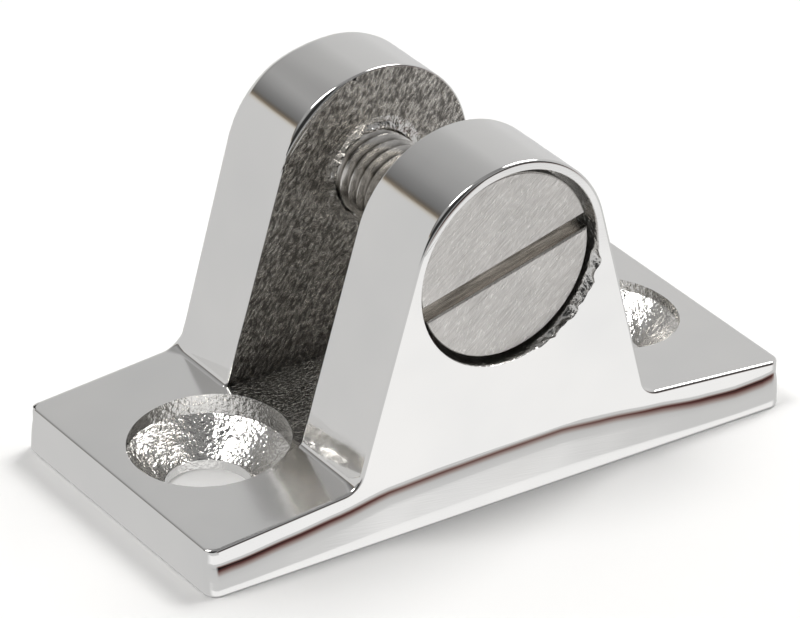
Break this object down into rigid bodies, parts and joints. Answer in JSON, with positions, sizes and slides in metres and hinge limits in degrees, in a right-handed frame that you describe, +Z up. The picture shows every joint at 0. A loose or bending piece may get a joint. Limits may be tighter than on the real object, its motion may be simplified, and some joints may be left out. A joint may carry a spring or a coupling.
{
  "type": "stanchion base",
  "caption": "Cast stainless deck base with a forked mount, crossed by a slotted screw, and countersunk holes in its plate.",
  "frame": {"origin": "centre of the plate's underside, where the base sits on the deck", "axes": "+X along the base plate, through both fixing holes; +Y along the cross screw, from its head towards its tip; +Z up from the deck"},
  "size_m": [0.0604, 0.0296, 0.0327],
  "materials": {
    "polished_casting": "mirror polished outside, rough as cast in the slot and the countersinks",
    "turned_screw": "fine turned, satin"
  },
  "bodies": {
    "base": {"base_casting": "polished_casting"},
    "screw": {"cross_screw": "turned_screw"}
  },
  "joints": [
    {"name": "screw_withdraw", "type": "slide", "parent": "base", "child": "screw", "axis": [0, -1, 0], "range_m": [0, 0.0199]}
  ]
}
